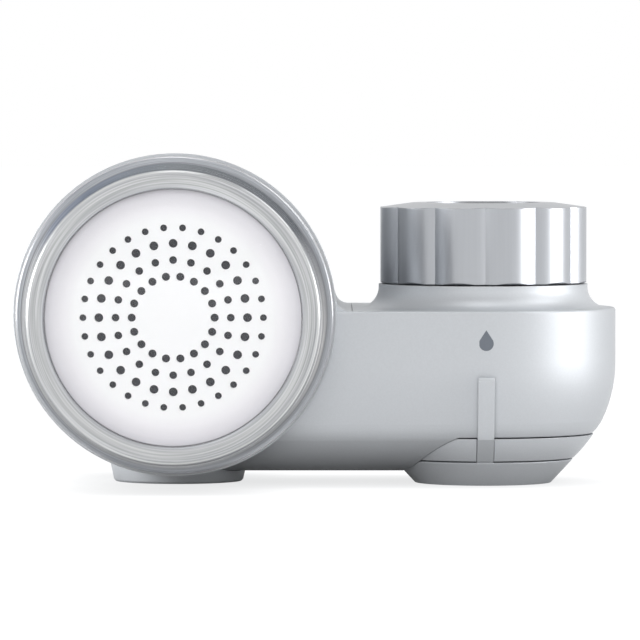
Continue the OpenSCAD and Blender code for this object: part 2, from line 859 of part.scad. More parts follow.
// White face with four rings of inlet holes and a bare middle
module face_disc() color("white") from_mouth() {
    on_drum() translate([0, 0, face_back]) difference() {
        rotate_extrude() polygon([[0, 0], [face_r, 0], [face_r, face_t - soft_edge],
                                  [face_r - soft_edge, face_t], [0, face_t]]);
        translate([0, 0, -bite]) linear_extrude(face_t + 2 * bite) face_holes();
    }
}

// The rings of holes, each one starting level with the middle
module face_holes() {
    for (k = [0 : len(face_ring_r) - 1], i = [0 : face_ring_n[k] - 1])
        rotate(360 / face_ring_n[k] * i) translate([face_ring_r[k], 0]) circle(face_hole_r[k], $fn = 24);
}

// Dark fleece behind the face
module sediment_pad() color("dimgray") from_mouth() {
    on_drum() translate([0, 0, face_back - seam - pad_t]) cylinder(r = case_bore_r - seam, h = pad_t);
}

// Carbon block with a channel through its middle
module filter_block() color("darkslategray") from_mouth() {
    back = case_back + case_wall + seam;
    on_drum() tube(case_bore_r - block_gap, core_r, back, face_back - 2 * seam - pad_t - back);
}

// Ring that seals the cartridge's stem in its socket
module stem_seal() color("black") from_mouth() {
    on_drum() translate([0, 0, stem_seal_z]) o_ring(stem_r - stem_groove + stem_seal_r, stem_seal_r);
}

// Clear screw cap that holds the cartridge and shows its face
module clear_cap() color("lightblue") from_mouth() {
    on_drum() rotate_extrude() difference() {
        union() {
            cap_outline();
            translate([0, drum_front - skirt_l]) square([skirt_r, skirt_l + run + bite]);
        }
        translate([0, drum_front - skirt_l - bite])
            square([skirt_bore_r, window_back - drum_front + skirt_l + bite - corner_r]);
        square([skirt_bore_r - corner_r, window_back]);
        translate([skirt_bore_r - corner_r, window_back - corner_r]) circle(corner_r);
        translate([skirt_r - cap_groove, cap_seal_z - cap_groove_h / 2]) square([far, cap_groove_h]);
        polygon([[0, window_front], [cap_front_r - window_rim - window_slope, window_front],
                 [cap_front_r - window_rim, cap_front + seam], [0, cap_front + seam]]);
    }
}

// Front part of the cap's outline, with its rounded edges and fine steps
module cap_outline() {
    side_l = cap_front - cap_edge_r - flange_front;
    step_l = side_l / cap_steps;
    step_r = (cap_back_r - cap_front_r) / cap_steps;
    translate([0, flange_back]) square([cap_flange_r - flange_edge, cap_flange_t]);
    translate([0, flange_back]) square([cap_flange_r, cap_flange_t - flange_edge]);
    translate([cap_flange_r - flange_edge, flange_front - flange_edge]) circle(flange_edge);
    for (i = [0 : cap_steps - 1]) translate([0, flange_front - bite])
        square([cap_back_r - i * step_r, bite + step_l * (i + 1)]);
    translate([0, flange_front]) square([cap_front_r - cap_edge_r, cap_front - flange_front]);
    translate([cap_front_r - cap_edge_r, cap_front - cap_edge_r]) circle(cap_edge_r);
}

// Ring that seals the cap in the drum
module cap_seal() color("black") from_mouth() {
    on_drum() translate([0, 0, cap_seal_z])
        o_ring(skirt_r - cap_groove + cap_seal_r + seal_gap, cap_seal_r);
}

housing_body();
top_cover();
back_cover();
inlet_spigot();
spigot_seal();
inlet_washer();
inlet_screen();
raw_water_duct();
filtered_channel();
valve_retainer();
outlet_foot();
foot_nozzle();
swivel_nut();
thread_insert();
valve_rotor();
rotor_seals();
port_seal();
diverter_ring();
outlet_ring();
spray_plate();
hub_screw();
cartridge_case();
face_disc();
sediment_pad();
filter_block();
stem_seal();
clear_cap();
cap_seal();
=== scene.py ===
"""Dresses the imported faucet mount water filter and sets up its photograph.

Every CAD node keeps its shape and gets a procedural material. The script adds what the solids
leave out: the inlet thread, the printed drop over the lever, and the floor, lamps and camera.
Lengths are in metres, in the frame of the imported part.
"""

import logging
import math
from dataclasses import dataclass
from enum import Enum

import bmesh
import bpy
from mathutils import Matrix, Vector

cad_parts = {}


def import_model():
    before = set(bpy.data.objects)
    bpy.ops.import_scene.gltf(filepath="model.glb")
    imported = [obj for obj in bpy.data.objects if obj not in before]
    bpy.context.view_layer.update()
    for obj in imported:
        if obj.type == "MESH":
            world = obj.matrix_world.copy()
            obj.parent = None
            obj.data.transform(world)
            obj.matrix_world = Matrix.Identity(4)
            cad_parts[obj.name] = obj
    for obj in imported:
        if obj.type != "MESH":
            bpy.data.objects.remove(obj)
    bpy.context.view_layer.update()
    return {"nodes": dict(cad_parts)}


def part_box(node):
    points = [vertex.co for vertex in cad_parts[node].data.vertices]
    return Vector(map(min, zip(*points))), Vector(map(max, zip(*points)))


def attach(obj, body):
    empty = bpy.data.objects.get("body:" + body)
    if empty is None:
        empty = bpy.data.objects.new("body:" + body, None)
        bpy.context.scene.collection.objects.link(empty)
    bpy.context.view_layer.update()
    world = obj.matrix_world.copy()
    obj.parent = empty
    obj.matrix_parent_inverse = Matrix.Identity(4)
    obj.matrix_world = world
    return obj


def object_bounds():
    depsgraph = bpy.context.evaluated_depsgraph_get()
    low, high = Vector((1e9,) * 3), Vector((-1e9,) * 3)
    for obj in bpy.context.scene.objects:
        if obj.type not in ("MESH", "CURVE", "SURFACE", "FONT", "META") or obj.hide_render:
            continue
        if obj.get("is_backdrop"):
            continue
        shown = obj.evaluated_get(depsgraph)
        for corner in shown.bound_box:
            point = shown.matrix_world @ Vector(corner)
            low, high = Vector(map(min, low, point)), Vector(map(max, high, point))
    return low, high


LOG = logging.getLogger("scene")
Colour = tuple[float, float, float]
Point = tuple[float, float, float]
Stops = tuple[tuple[float, Colour], ...]
Socket = bpy.types.NodeSocket


def mm(value: float) -> float:
    """Returns a length given in millimetres, in metres."""
    return value * 0.001


def direction(azimuth: float, elevation: float) -> Vector:
    """Tells the way from the object to a thing in the studio.

    Args:
        azimuth: Degrees to the right of the front.
        elevation: Degrees above the horizon.

    Returns:
        The way, of length 1.
    """
    side, rise = math.radians(azimuth), math.radians(elevation)
    level = math.cos(rise)
    return Vector((math.sin(side) * level, -math.cos(side) * level, math.sin(rise)))


class Wear(Enum):
    """How strongly a surface shows fine unevenness."""

    NONE = 0.0
    FAINT = 0.03
    FINE = 0.08
    COARSE = 0.35


class Graph:
    """Builds the shader nodes of one material."""

    def __init__(self, name: str) -> None:
        """Makes an empty material.

        Args:
            name: The material's name.
        """
        self.material = bpy.data.materials.new(name)
        self.material.use_nodes = True
        self.tree = self.material.node_tree
        self.tree.nodes.clear()

    @classmethod
    def of_tree(cls, tree: bpy.types.NodeTree) -> "Graph":
        """Wraps a node tree that exists, such as the world's, and empties it.

        Args:
            tree: The node tree.

        Returns:
            The graph, without a material.
        """
        graph = cls.__new__(cls)
        graph.tree = tree
        tree.nodes.clear()
        return graph

    def add(self, kind: str, **values: object) -> bpy.types.Node:
        """Adds a shader node and sets its properties.

        Args:
            kind: The node's type, such as ShaderNodeBump.
            **values: Properties of the node.

        Returns:
            The new node.
        """
        node = self.tree.nodes.new(kind)
        for key, value in values.items():
            setattr(node, key, value)
        return node

    def join(self, source: Socket, target: Socket) -> None:
        """Links an output to an input."""
        self.tree.links.new(source, target)

    def principled(self, **sockets: object) -> bpy.types.Node:
        """Adds a Principled shader.

        Args:
            **sockets: Input values by name, with underscores for spaces.

        Returns:
            The shader node.
        """
        node = self.add("ShaderNodeBsdfPrincipled")
        for key, value in sockets.items():
            node.inputs[key.replace("_", " ")].default_value = value
        return node

    def noise(self, scale: float, stretch: Point = (1.0, 1.0, 1.0)) -> Socket:
        """Adds a noise texture in object coordinates.

        Args:
            scale: Grains per metre.
            stretch: Factors on the coordinates; a small one draws the grains out.

        Returns:
            The noise, from 0 to 1.
        """
        coordinates = self.add("ShaderNodeTexCoord")
        drawn = self.add("ShaderNodeVectorMath", operation="MULTIPLY")
        drawn.inputs[1].default_value = stretch
        noise = self.add("ShaderNodeTexNoise")
        noise.inputs["Scale"].default_value = scale
        self.join(coordinates.outputs["Object"], drawn.inputs[0])
        self.join(drawn.outputs[0], noise.inputs["Vector"])
        return noise.outputs["Fac"]

    def math(self, operation: str, *inputs: Socket | float) -> Socket:
        """Adds a Math node.

        Args:
            operation: Its operation, such as ADD.
            *inputs: Its inputs in order, each an output or a number.

        Returns:
            The result.
        """
        node = self.add("ShaderNodeMath", operation=operation)
        for i, value in enumerate(inputs):
            if isinstance(value, Socket):
                self.join(value, node.inputs[i])
            else:
                node.inputs[i].default_value = value
        return node.outputs[0]

    def span(
        self, source: Socket, low: float, high: float, start: float = 0.0, end: float = 1.0
    ) -> Socket:
        """Adds a Map Range node, whose result stays between its two ends.

        Args:
            source: The value.
            low: Result where the value is at its start.
            high: Result where it is at its end.
            start: Value that gives the low result.
            end: Value that gives the high result.

        Returns:
            The result.
        """
        node = self.add("ShaderNodeMapRange")
        node.inputs["From Min"].default_value = start
        node.inputs["From Max"].default_value = end
        node.inputs["To Min"].default_value = low
        node.inputs["To Max"].default_value = high
        self.join(source, node.inputs["Value"])
        return node.outputs["Result"]

    def ramp(self, source: Socket, start: float, end: float, stops: Stops) -> Socket:
        """Adds a colour ramp over a range of values.

        Args:
            source: The value.
            start: Value at the ramp's left end.
            end: Value at its right end.
            stops: Pairs of a value in the range and its colour.

        Returns:
            The colour.
        """
        node = self.add("ShaderNodeValToRGB")
        points = node.color_ramp.elements
        while len(points) < len(stops):
            points.new(1.0)
        for point, (place, colour) in zip(points, stops):
            point.position = (place - start) / (end - start)
            point.color = (*colour, 1.0)
        self.join(self.span(source, 0.0, 1.0, start, end), node.inputs["Fac"])
        return node.outputs["Color"]

    def blend(self, share: Socket, first: Socket, second: Socket) -> Socket:
        """Adds a Mix node for colours.

        Args:
            share: Weight of the second colour.
            first: The first colour.
            second: The second colour.

        Returns:
            The mixed colour.
        """
        node = self.add("ShaderNodeMix", data_type="RGBA")
        self.join(share, node.inputs[0])
        self.join(first, node.inputs[6])
        self.join(second, node.inputs[7])
        return node.outputs[2]

    def multiply(self, first: Socket, second: Socket) -> Socket:
        """Adds a Mix node that multiplies two colours.

        Args:
            first: The first colour.
            second: The second colour.

        Returns:
            The product.
        """
        node = self.add("ShaderNodeMix", data_type="RGBA", blend_type="MULTIPLY")
        node.inputs[0].default_value = 1.0
        self.join(first, node.inputs[6])
        self.join(second, node.inputs[7])
        return node.outputs[2]

    def mix(self, share: Socket, first: Socket, second: Socket) -> Socket:
        """Adds a Mix Shader node.

        Args:
            share: Weight of the second shader.
            first: The first shader.
            second: The second shader.

        Returns:
            The mixed shader.
        """
        node = self.add("ShaderNodeMixShader")
        self.join(share, node.inputs["Fac"])
        self.join(first, node.inputs[1])
        self.join(second, node.inputs[2])
        return node.outputs["Shader"]

    def output(self, shader: Socket) -> bpy.types.Material:
        """Ends the graph with its surface output.

        Args:
            shader: The surface shader's output.

        Returns:
            The finished material.
        """
        end = self.add("ShaderNodeOutputMaterial")
        self.join(shader, end.inputs["Surface"])
        return self.material


@dataclass(frozen=True)
class Finish:
    """A surface finish with a slight grain, as a procedural material.

    Attributes:
        name: Name of the material.
        colour: Base colour, linear.
        roughness: Mean roughness.
        metallic: 1 for metal or for metallic paint.
        grain: Grains per metre of the fine texture.
        stretch: Factors that draw the grains out, as in brushed metal.
        wear: How far the grain stands out.
        tone: Share by which the grain changes the colour.
        edge: Radius of the soft edges that the light picks out.
        spread: How far the roughness swings about its mean.
        depth: Height of the grain.
    """

    name: str
    colour: Colour
    roughness: float
    metallic: float = 0.0
    grain: float = 2500.0
    stretch: Point = (1.0, 1.0, 1.0)
    wear: Wear = Wear.FAINT
    tone: float = 0.03
    edge: float = mm(0.0)
    spread: float = 0.03
    depth: float = mm(0.05)

    def build(self) -> bpy.types.Material:
        """Makes the material.

        Returns:
            The new material.
        """
        graph = Graph(self.name)
        noise = graph.noise(self.grain, stretch=self.stretch)
        low = tuple(c * (1 - self.tone) for c in self.colour)
        high = tuple(min(c * (1 + self.tone), 1.0) for c in self.colour)
        tone = graph.ramp(noise, 0.0, 1.0, ((0.3, low), (0.7, high)))
        smooth = max(self.roughness - self.spread, 0.0)
        rough = min(self.roughness + self.spread, 1.0)
        bump = graph.add("ShaderNodeBump")
        bump.inputs["Strength"].default_value = self.wear.value
        bump.inputs["Distance"].default_value = self.depth
        graph.join(noise, bump.inputs["Height"])
        if self.edge > 0:
            rounded = graph.add("ShaderNodeBevel", samples=6)
            rounded.inputs["Radius"].default_value = self.edge
            graph.join(rounded.outputs["Normal"], bump.inputs["Normal"])
        shader = graph.principled(Metallic=self.metallic)
        graph.join(tone, shader.inputs["Base Color"])
        graph.join(graph.span(noise, smooth, rough), shader.inputs["Roughness"])
        graph.join(bump.outputs["Normal"], shader.inputs["Normal"])
        return graph.output(shader.outputs["BSDF"])


@dataclass(frozen=True)
class Spot:
    """Outputs that tell where on a turned piece a point lies.

    Attributes:
        radius: Distance from the axis in metres.
        angle: Angle round the axis in radians.
        depth: Place along the axis in metres.
        front: 1 on faces turned along the axis, 0 on the sides.
    """

    radius: Socket
    angle: Socket
    depth: Socket
    front: Socket


# The cap's wall from the front by radius in millimetres; the bright lines at 31.75 and 35 are
# painted highlights.
WALL_BANDS_AND_HIGHLIGHTS: Stops = (
    (28.1, (0.34, 0.35, 0.37)), (28.4, (0.5, 0.51, 0.53)), (28.8, (0.54, 0.55, 0.56)),
    (29.8, (0.57, 0.58, 0.58)), (31.2, (0.52, 0.53, 0.54)), (31.75, (0.74, 0.75, 0.75)),
    (32.2, (0.5, 0.51, 0.53)), (33.3, (0.4, 0.42, 0.45)), (33.5, (0.27, 0.28, 0.3)),
    (33.8, (0.44, 0.46, 0.49)), (34.6, (0.48, 0.5, 0.53)), (35.0, (0.8, 0.8, 0.82)),
)
# Painted sheen and shade on the steps behind the wall's front edge, dark at the top, by angle
# in half turns from the right.
STEP_PAINTED_SHADING: Stops = (
    (-0.98, (0.58, 0.59, 0.6)), (-0.85, (0.52, 0.53, 0.53)), (-0.6, (0.42, 0.43, 0.44)),
    (-0.25, (0.4, 0.41, 0.42)), (-0.05, (0.7, 0.7, 0.7)), (0.12, (0.4, 0.41, 0.43)),
    (0.2, (0.14, 0.15, 0.17)), (0.5, (0.26, 0.28, 0.3)), (0.7, (0.2, 0.23, 0.29)),
    (0.8, (0.3, 0.33, 0.4)), (0.88, (0.62, 0.63, 0.64)),
)
# Painted shade in the window, darker towards its rim where the wall shades the face, by radius
# in millimetres.
WINDOW_PAINTED_SHADE: Stops = (
    (21.5, (0.975, 0.98, 0.98)), (23.8, (0.92, 0.91, 0.93)),
    (26.4, (0.8, 0.79, 0.82)), (28.1, (0.66, 0.65, 0.69)),
)
# Factors on the wall's colour, by the pattern of turned rings.
RING_TONES: Stops = (
    (0.34, (0.72, 0.73, 0.75)), (0.5, (0.96, 0.96, 0.96)), (0.64, (1.22, 1.22, 1.22)),
)
BLACK: Colour = (0.0, 0.0, 0.0)
FULL: Colour = (1.0, 1.0, 1.0)


@dataclass(frozen=True)
class ClearFinish:
    """Clear moulded plastic: a window with painted shade at its rim, in a thick wall with fine
    turned rings and painted highlights, sheen and shade.

    Attributes:
        axis: A point on the axis that the piece is turned about, which runs along Y.
        name: Name of the material.
        ior: Refractive index.
        haze: Roughness of the window.
        window_r: Radius at which the window turns into the wall.
        frost: Share of the wall's colour, with its painted highlights and shade, seen from the
            front.
        side_frost: The same share on the sides.
        side_colour: The wall's own colour on the sides.
        side_relief: How far the turned rings stand out on the sides, 1 for as in front.
        gloss: Roughness of the wall.
        silver: How far the wall mirrors like metal, as thick clear plastic does.
        window_pass: Share of the lamps' light that the window lets through.
        wall_pass: Share that the wall lets through.
        rings: Fine rings per metre of radius.
        relief: Strength of the rings' bumps.
        depth: Height of those bumps.
        steps: Radii between which the wall's steps lie, in millimetres.
        slopes: A face less turned along the axis than the first is a side, and one more
            turned than the second is a front.
    """

    axis: Point
    name: str = "clear moulded plastic"
    ior: float = 1.45
    haze: float = 0.02
    window_r: float = mm(28.1)
    frost: float = 0.8
    side_frost: float = 0.55
    side_colour: Colour = (0.66, 0.68, 0.7)
    side_relief: float = 0.3
    gloss: float = 0.22
    silver: float = 0.35
    window_pass: float = 0.96
    wall_pass: float = 0.4
    rings: float = 3200.0
    relief: float = 0.35
    depth: float = mm(0.05)
    steps: tuple[float, float] = (32.1, 33.5)
    slopes: tuple[float, float] = (0.1, 0.3)

    def spot(self, graph: Graph) -> Spot:
        """Adds the place round and along the drum's axis.

        Args:
            graph: The material's graph.

        Returns:
            The outputs that tell it.
        """
        coordinates = graph.add("ShaderNodeTexCoord")
        centred = graph.add("ShaderNodeVectorMath", operation="SUBTRACT")
        centred.inputs[1].default_value = self.axis
        graph.join(coordinates.outputs["Object"], centred.inputs[0])
        parts = graph.add("ShaderNodeSeparateXYZ")
        graph.join(centred.outputs[0], parts.inputs[0])
        flat = graph.add("ShaderNodeVectorMath", operation="MULTIPLY")
        flat.inputs[1].default_value = (1.0, 0.0, 1.0)
        graph.join(centred.outputs[0], flat.inputs[0])
        radius = graph.add("ShaderNodeVectorMath", operation="LENGTH")
        graph.join(flat.outputs[0], radius.inputs[0])
        normal = graph.add("ShaderNodeSeparateXYZ")
        graph.join(coordinates.outputs["Normal"], normal.inputs[0])
        facing = graph.math("ABSOLUTE", normal.outputs["Y"])
        return Spot(
            radius.outputs["Value"],
            graph.math("ARCTAN2", parts.outputs["Z"], parts.outputs["X"]),
            parts.outputs["Y"],
            graph.span(facing, 0.0, 1.0, *self.slopes),
        )

    def turned(self, graph: Graph, spot: Spot) -> Socket:
        """Adds the pattern of fine turned rings.

        Args:
            graph: The material's graph.
            spot: Where on the cap the point lies.

        Returns:
            The pattern, from 0 to 1.
        """
        along = graph.math("MULTIPLY", spot.depth, graph.math("SUBTRACT", 1.0, spot.front))
        across = graph.math("MULTIPLY", spot.radius, spot.front)
        place = graph.add("ShaderNodeCombineXYZ")
        both = graph.math("ADD", along, across)
        graph.join(graph.math("MULTIPLY", both, self.rings), place.inputs["X"])
        graph.join(graph.math("SINE", spot.angle), place.inputs["Y"])
        graph.join(graph.math("COSINE", spot.angle), place.inputs["Z"])
        noise = graph.add("ShaderNodeTexNoise")
        noise.inputs["Scale"].default_value = 1.0
        noise.inputs["Detail"].default_value = 3.0
        graph.join(place.outputs[0], noise.inputs["Vector"])
        swing = graph.math("SUBTRACT", noise.outputs["Fac"], 0.5)
        gain = graph.span(spot.front, self.side_relief, 1.0)
        return graph.math("ADD", graph.math("MULTIPLY", swing, gain), 0.5)

    def wall_colour(self, graph: Graph, spot: Spot, turned: Socket) -> Socket:
        """Adds the wall's colour: bands with painted highlight lines across its front, and
        painted sheen and shade round its steps.

        Args:
            graph: The material's graph.
            spot: Where on the cap the point lies.
            turned: The pattern of fine rings.

        Returns:
            The colour.
        """
        radius = graph.math("DIVIDE", spot.radius, mm(1.0))
        half_turns = graph.math("DIVIDE", spot.angle, math.pi)
        # Bands by radius, with painted highlight lines.
        bands = graph.ramp(radius, 28.0, 35.2, WALL_BANDS_AND_HIGHLIGHTS)
        # Painted sheen and shade by angle round the steps.
        painted_shading = graph.ramp(half_turns, -1.0, 1.0, STEP_PAINTED_SHADING)
        low, high = self.steps
        on_steps = graph.ramp(radius, low - 0.3, high + 0.3, (
            (low - 0.1, BLACK), (low + 0.1, FULL), (high - 0.2, FULL), (high, BLACK),
        ))
        plain = graph.add("ShaderNodeRGB")
        plain.outputs[0].default_value = (*self.side_colour, 1.0)
        front = graph.blend(on_steps, bands, painted_shading)
        colour = graph.blend(spot.front, plain.outputs[0], front)
        return graph.multiply(colour, graph.ramp(turned, 0.3, 0.7, RING_TONES))

    def surface(self, graph: Graph) -> tuple[Socket, Socket]:
        """Adds the window and the wall as one shader.

        Args:
            graph: The material's graph.

        Returns:
            The shader and the share of the wall in it.
        """
        spot = self.spot(graph)
        turned = self.turned(graph, spot)
        wall = graph.span(spot.radius, 0.0, 1.0, self.window_r, self.window_r + mm(0.15))
        bump = graph.add("ShaderNodeBump")
        bump.inputs["Strength"].default_value = self.relief
        bump.inputs["Distance"].default_value = self.depth
        graph.join(graph.math("MULTIPLY", turned, wall), bump.inputs["Height"])
        radius = graph.math("DIVIDE", spot.radius, mm(1.0))
        window = graph.principled(Roughness=self.haze, IOR=self.ior, Transmission_Weight=1.0)
        # Painted shade: the window darkens towards its rim.
        graph.join(graph.ramp(radius, 20.0, 28.2, WINDOW_PAINTED_SHADE), window.inputs["Base Color"])
        graph.join(bump.outputs["Normal"], window.inputs["Normal"])
        frosted = graph.principled(Roughness=self.gloss, Metallic=self.silver)
        graph.join(self.wall_colour(graph, spot, turned), frosted.inputs["Base Color"])
        graph.join(bump.outputs["Normal"], frosted.inputs["Normal"])
        frost = graph.span(spot.front, self.side_frost, self.frost)
        share = graph.math("MULTIPLY", wall, frost)
        return graph.mix(share, window.outputs["BSDF"], frosted.outputs["BSDF"]), wall

    def build(self) -> bpy.types.Material:
        """Makes the material.

        Returns:
            The new material.
        """
        graph = Graph(self.name)
        body, wall = self.surface(graph)
        through = graph.add("ShaderNodeBsdfTransparent")
        graph.join(graph.span(wall, self.window_pass, self.wall_pass), through.inputs["Color"])
        path = graph.add("ShaderNodeLightPath").outputs
        lighting = graph.math("MAXIMUM", path["Is Shadow Ray"], path["Is Diffuse Ray"])
        return graph.output(graph.mix(lighting, body, through.outputs["BSDF"]))


SILVER = Finish(
    "satin silver paint", (0.56, 0.58, 0.605), roughness=0.47, metallic=0.5, tone=0.02,
    edge=mm(0.25),
)
PLATED = Finish(
    "satin chrome plating", (0.45, 0.465, 0.49), roughness=0.34, metallic=1.0, tone=0.015,
    edge=mm(0.2), stretch=(1.0, 1.0, 0.02), wear=Wear.NONE,
)
WHITE = Finish("white moulded plastic", (0.86, 0.86, 0.87), roughness=0.4, tone=0.01)
INNER = Finish("plain moulded plastic", (0.72, 0.73, 0.74), roughness=0.5, tone=0.02)
RUBBER = Finish("black rubber", (0.025, 0.025, 0.027), roughness=0.7, wear=Wear.FINE)
NICKEL = Finish(
    "nickel-plated brass", (0.42, 0.41, 0.39), roughness=0.3, metallic=1.0, tone=0.05
)
SILICONE = Finish("translucent silicone", (0.7, 0.72, 0.74), roughness=0.5, tone=0.02)
STEEL = Finish("stainless steel", (0.6, 0.6, 0.61), roughness=0.3, metallic=1.0)
FLEECE = Finish("dark fleece", (0.02, 0.02, 0.03), roughness=0.95, wear=Wear.COARSE, tone=0.3)
CARBON = Finish(
    "pressed carbon", (0.02, 0.02, 0.022), roughness=0.9, wear=Wear.COARSE, tone=0.2
)
PRINT = Finish("grey print", (0.155, 0.172, 0.2), roughness=0.5, tone=0.02)


class Dresser:
    """Gives CAD nodes and new pieces their materials."""

    def __init__(self, nodes: dict[str, bpy.types.Object]) -> None:
        """Keeps the CAD nodes and an empty store of materials.

        Args:
            nodes: The CAD nodes by name.
        """
        self.nodes = nodes
        self.store: dict[str, bpy.types.Material] = {}

    def material(self, finish: Finish | ClearFinish) -> bpy.types.Material:
        """Returns the material of a finish, made once.

        Args:
            finish: The finish.

        Returns:
            Its material.
        """
        if finish.name not in self.store:
            self.store[finish.name] = finish.build()
        return self.store[finish.name]

    def paint(self, finish: Finish | ClearFinish, *names: str) -> None:
        """Puts one finish on CAD nodes.

        Args:
            finish: The finish.
            *names: The nodes' names.
        """
        for name in names:
            slots = self.nodes[name].data.materials
            slots.clear()
            slots.append(self.material(finish))
            LOG.info("%s: %s", name, finish.name)


def mesh_object(
    name: str, verts: list[Point], faces: list[tuple[int, ...]], smooth: bool = True
) -> bpy.types.Object:
    """Makes a mesh object in the scene.

    Args:
        name: The object's name.
        verts: Its points.
        faces: Its faces.
        smooth: True for smooth shading.

    Returns:
        The new object.
    """
    mesh = bpy.data.meshes.new(name)
    mesh.from_pydata(verts, [], faces)
    mesh.validate()
    work = bmesh.new()
    work.from_mesh(mesh)
    bmesh.ops.recalc_face_normals(work, faces=work.faces)
    work.to_mesh(mesh)
    work.free()
    mesh.polygons.foreach_set("use_smooth", [smooth] * len(mesh.polygons))
    made = bpy.data.objects.new(name, mesh)
    bpy.context.scene.collection.objects.link(made)
    return made


@dataclass
class Housing:
    """The painted shell, the water pipes in it and its seals.

    Attributes:
        shells: Painted nodes.
        inner: Unpainted nodes inside.
        seals: Rubber nodes.
        drop_x: Place of the printed drop along X.
        drop_z: Height of the drop's middle.
        drop_w: Width of the drop.
        drop_h: Height of the drop.
        drop_flank: How far round the drop's flanks leave its round part, 1 for a tangent.
        film: Height of the print above the wall.
    """

    shells: tuple[str, ...] = ("housing_body", "top_cover", "back_cover", "outlet_foot")
    inner: tuple[str, ...] = (
        "inlet_spigot", "raw_water_duct", "filtered_channel", "valve_retainer", "foot_nozzle",
    )
    seals: tuple[str, ...] = ("spigot_seal", "inlet_washer")
    drop_x: float = mm(0.0)
    drop_z: float = mm(-28.6)
    drop_w: float = mm(3.26)
    drop_h: float = mm(4.6)
    drop_flank: float = 0.86
    film: float = mm(0.04)

    def dress(self, dresser: Dresser) -> None:
        """Paints the housing's nodes.

        Args:
            dresser: Holds the nodes and materials.
        """
        dresser.paint(SILVER, *self.shells)
        dresser.paint(INNER, *self.inner)
        dresser.paint(RUBBER, *self.seals)
        dresser.paint(STEEL, "inlet_screen")

    def drop_outline(self, points: int = 48) -> list[tuple[float, float]]:
        """Returns the outline of a water drop with its tip up.

        Args:
            points: Number of points.

        Returns:
            Pairs of X and Z from the drop's middle.
        """
        radius = self.drop_w / 2
        low = -self.drop_h / 2 + radius
        tip = self.drop_h / 2
        swing = math.acos(radius / (tip - low)) * self.drop_flank
        outline = [(0.0, tip)]
        for i in range(points + 1):
            angle = math.pi / 2 - swing - i * (2 * math.pi - 2 * swing) / points
            outline.append((radius * math.cos(angle), low + radius * math.sin(angle)))
        return outline

    def drop(self, dresser: Dresser) -> bpy.types.Object:
        """Prints the drop on the bowl's round wall above the lever.

        Args:
            dresser: Holds the nodes and materials.

        Returns:
            The drop.
        """
        outline = self.drop_outline()
        wall_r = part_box("housing_body")[1][0]
        verts: list[Point] = []
        for out in (self.film, -self.film):
            for x, z in outline:
                y = -math.sqrt((wall_r + out) ** 2 - (self.drop_x + x) ** 2)
                verts.append((self.drop_x + x, y, self.drop_z + z))
        n = len(outline)
        faces: list[tuple[int, ...]] = [tuple(range(n)), tuple(range(2 * n - 1, n - 1, -1))]
        faces += [(i, (i + 1) % n, n + (i + 1) % n, n + i) for i in range(n)]
        made = mesh_object("drop_mark", verts, faces, smooth=False)
        made.data.materials.append(dresser.material(PRINT))
        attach(made, "housing")
        LOG.info("drop_mark: %s", PRINT.name)
        return made


@dataclass
class SwivelNut:
    """The fluted nut and its threaded insert.

    Attributes:
        root: Radius at the foot of the thread's ridge, just inside the insert's wall.
        crest: Radius at the ridge's edge.
        pitch: Pitch of a 27 per inch thread.
        turns: Number of turns.
        start: Height where the thread starts.
        sides: Points in one turn.
        foot: Half the ridge's width at its foot, as a share of the pitch.
        flat: Half its width at its edge, as a share of the pitch.
        fade: Turns over which the ridge rises at its ends.
        least: Share of its size that it starts with.
    """

    root: float = mm(10.48)
    crest: float = mm(9.95)
    pitch: float = mm(0.9407)
    turns: float = 7.0
    start: float = mm(-7.0)
    sides: int = 96
    foot: float = 0.42
    flat: float = 0.08
    fade: float = 1 / 6
    least: float = 0.02

    def dress(self, dresser: Dresser) -> None:
        """Paints the nut and its insert.

        Args:
            dresser: Holds the nodes and materials.
        """
        dresser.paint(PLATED, "swivel_nut")
        dresser.paint(NICKEL, "thread_insert")

    def ridge(self, i: int, count: int) -> list[Point]:
        """Returns the four corners of the thread's ridge at one step along it.

        Args:
            i: The step.
            count: The last step.

        Returns:
            The corners, from the lower foot to the upper one.
        """
        angle = 2 * math.pi * i / self.sides
        height = self.start + self.pitch * i / self.sides
        rise = self.fade * self.sides
        full = max(min(1.0, i / rise, (count - i) / rise), self.least)
        edge = self.root + (self.crest - self.root) * full
        half, flat = self.foot * self.pitch * full, self.flat * self.pitch * full
        section = ((self.root, -half), (edge, -flat), (edge, flat), (self.root, half))
        return [(r * math.cos(angle), r * math.sin(angle), height + z) for r, z in section]

    def thread(self, dresser: Dresser) -> bpy.types.Object:
        """Adds the ridge of the thread in the insert's bore.

        Args:
            dresser: Holds the nodes and materials.

        Returns:
            The thread's ridge.
        """
        count = int(self.turns * self.sides)
        verts = [corner for i in range(count + 1) for corner in self.ridge(i, count)]
        faces: list[tuple[int, ...]] = []
        for i in range(count):
            for k in range(4):
                a, b = 4 * i + k, 4 * i + (k + 1) % 4
                faces.append((a, b, b + 4, a + 4))
        faces += [(0, 1, 2, 3), (4 * count, 4 * count + 3, 4 * count + 2, 4 * count + 1)]
        made = mesh_object("inlet_thread_ridge", verts, faces)
        made.data.materials.append(dresser.material(NICKEL))
        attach(made, "nut")
        LOG.info("inlet_thread_ridge: %s", NICKEL.name)
        return made


@dataclass
class Diverter:
    """The turning valve below: rotor, rings, lever and spray plate.

    Attributes:
        rings: Painted nodes.
        inner: Unpainted nodes.
        seals: Rubber nodes.
    """

    rings: tuple[str, ...] = ("diverter_ring", "outlet_ring")
    inner: tuple[str, ...] = ("valve_rotor", "spray_plate")
    seals: tuple[str, ...] = ("rotor_seals", "port_seal")

    def dress(self, dresser: Dresser) -> None:
        """Paints the diverter's nodes.

        Args:
            dresser: Holds the nodes and materials.
        """
        dresser.paint(SILVER, *self.rings)
        dresser.paint(INNER, *self.inner)
        dresser.paint(RUBBER, *self.seals)
        dresser.paint(STEEL, "hub_screw")


